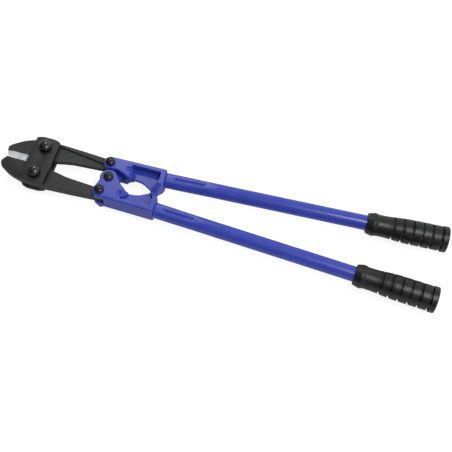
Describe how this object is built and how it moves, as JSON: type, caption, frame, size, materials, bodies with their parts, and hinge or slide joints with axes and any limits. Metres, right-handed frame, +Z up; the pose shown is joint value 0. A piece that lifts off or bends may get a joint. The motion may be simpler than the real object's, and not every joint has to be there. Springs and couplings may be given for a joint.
{
  "type": "bolt cutters",
  "caption": "Long-handled bolt cutters: forged jaws between bolted straps, worked through two half-lapped handle heads, with painted tube handles and ribbed rubber grips.",
  "frame": {"origin": "bottom centre of the closed tool's bounding box, as it lies flat on the bolt ends", "axes": "+X along the tool from the jaws to the grips, +Y across it towards the upper handle, +Z up towards the bolt heads"},
  "size_m": [0.6262, 0.127, 0.046],
  "materials": {
    "jaw_steel": "matt dark grey forged alloy steel with a bright ground cutting bevel",
    "strap_steel": "matt dark grey rolled steel plate",
    "bolt_steel": "glossy black oxide on bolts, lock washers and nuts",
    "blue_paint": "semi-gloss blue enamel",
    "grip_rubber": "satin moulded black rubber"
  },
  "bodies": {
    "strap_frame": {"strap_front": "strap_steel", "strap_rear": "strap_steel", "jaw_upper_bolt": "bolt_steel", "jaw_upper_lock_washer": "bolt_steel", "jaw_upper_nut": "bolt_steel", "jaw_lower_bolt": "bolt_steel", "jaw_lower_lock_washer": "bolt_steel", "jaw_lower_nut": "bolt_steel"},
    "jaw_upper": {"jaw_upper": "jaw_steel"},
    "jaw_lower": {"jaw_lower": "jaw_steel"},
    "handle_upper": {"handle_head_upper": "blue_paint", "handle_tube_upper": "blue_paint", "grip_upper": "grip_rubber", "tail_upper_bolt": "bolt_steel", "tail_upper_lock_washer": "bolt_steel", "tail_upper_nut": "bolt_steel"},
    "handle_lower": {"handle_head_lower": "blue_paint", "handle_tube_lower": "blue_paint", "grip_lower": "grip_rubber", "tail_lower_bolt": "bolt_steel", "tail_lower_lock_washer": "bolt_steel", "tail_lower_nut": "bolt_steel", "handle_pivot_bolt": "bolt_steel", "handle_pivot_lock_washer": "bolt_steel", "handle_pivot_nut": "bolt_steel"}
  },
  "joints": [
    {"name": "jaw_upper_hinge", "type": "hinge", "parent": "strap_frame", "child": "jaw_upper", "pos_m": [-0.25994, 0.0213, 0.0244], "axis": [0, 0, 1], "range_deg": [-5.5, 0]},
    {"name": "jaw_lower_hinge", "type": "hinge", "parent": "strap_frame", "child": "jaw_lower", "pos_m": [-0.25994, -0.0213, 0.0244], "axis": [0, 0, 1], "range_deg": [0, 5.5]},
    {"name": "handle_upper_hinge", "type": "hinge", "parent": "jaw_upper", "child": "handle_upper", "pos_m": [-0.16374, 0.0233, 0.0244], "axis": [0, 0, 1], "range_deg": [0, 50]},
    {"name": "handle_lower_hinge", "type": "hinge", "parent": "jaw_lower", "child": "handle_lower", "pos_m": [-0.16374, -0.0233, 0.0244], "axis": [0, 0, 1], "range_deg": [-50, 0]}
  ],
  "couplings": [
    {"joint": "handle_lower_hinge", "follows": "handle_upper_hinge", "ratio": -1},
    {"joint": "jaw_upper_hinge", "follows": "handle_upper_hinge", "ratio": -0.107},
    {"joint": "jaw_lower_hinge", "follows": "handle_upper_hinge", "ratio": 0.107}
  ]
}
